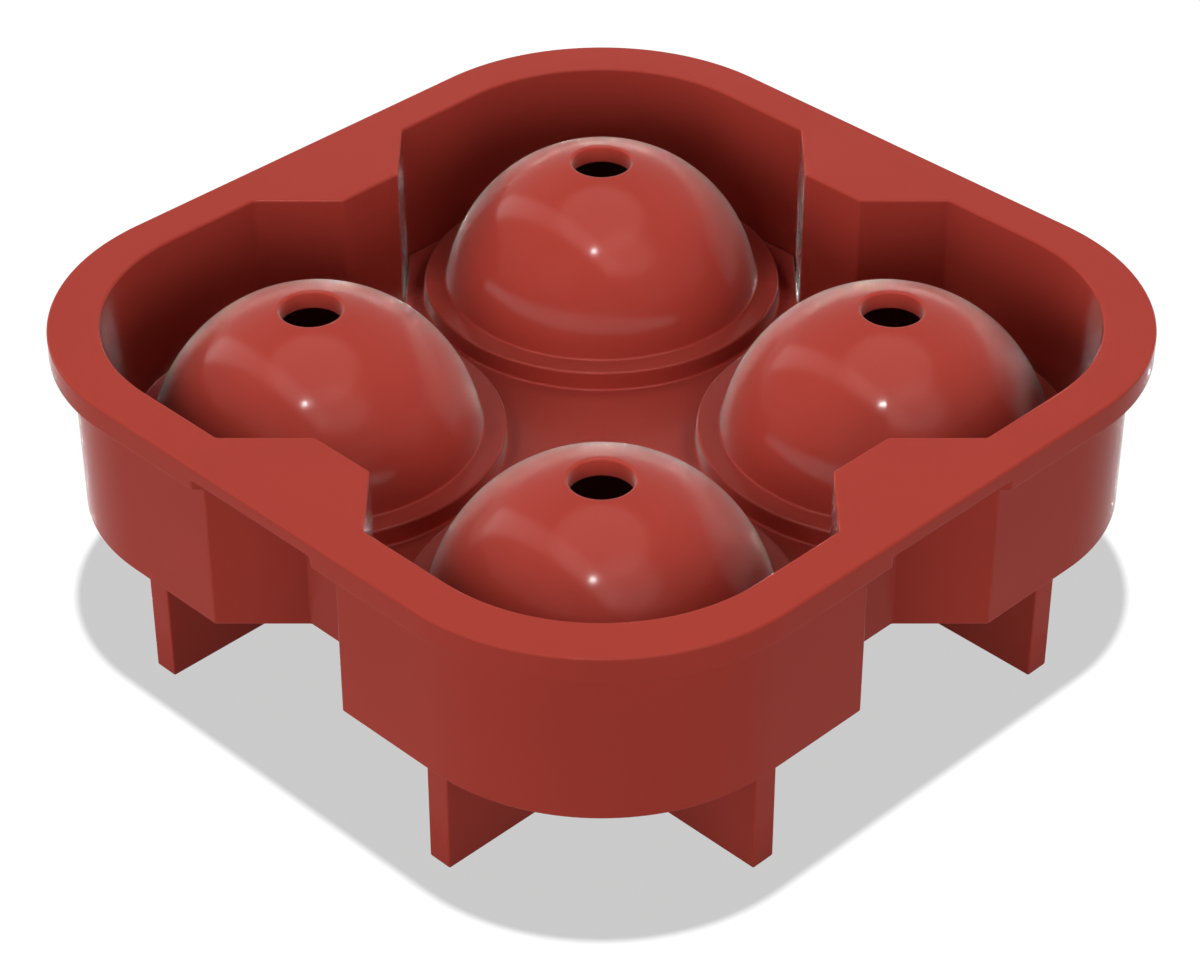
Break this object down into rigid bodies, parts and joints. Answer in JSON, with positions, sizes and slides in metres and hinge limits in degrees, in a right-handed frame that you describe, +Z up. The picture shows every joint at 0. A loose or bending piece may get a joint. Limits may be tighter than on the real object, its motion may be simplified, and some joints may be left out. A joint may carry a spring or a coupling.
{
  "type": "ice ball mold",
  "caption": "Red ice ball mold: a pinched square tray on rib feet with half-ball bowls, and a lid whose round domes have fill holes.",
  "frame": {"origin": "middle of the footprint, on the surface that the feet stand on", "axes": "+Z up through the middle of the mold, +X and +Y square to its sides"},
  "size_m": [0.1372, 0.1372, 0.0505],
  "materials": {
    "red_plastic": "smooth, glossy, moulded"
  },
  "bodies": {
    "tray": {"lower_tray": "red_plastic"},
    "lid": {"dome_lid": "red_plastic"}
  },
  "joints": [
    {"name": "lid_lift", "type": "slide", "parent": "tray", "child": "lid", "axis": [0, 0, 1], "range_m": [0, 0.04]}
  ]
}
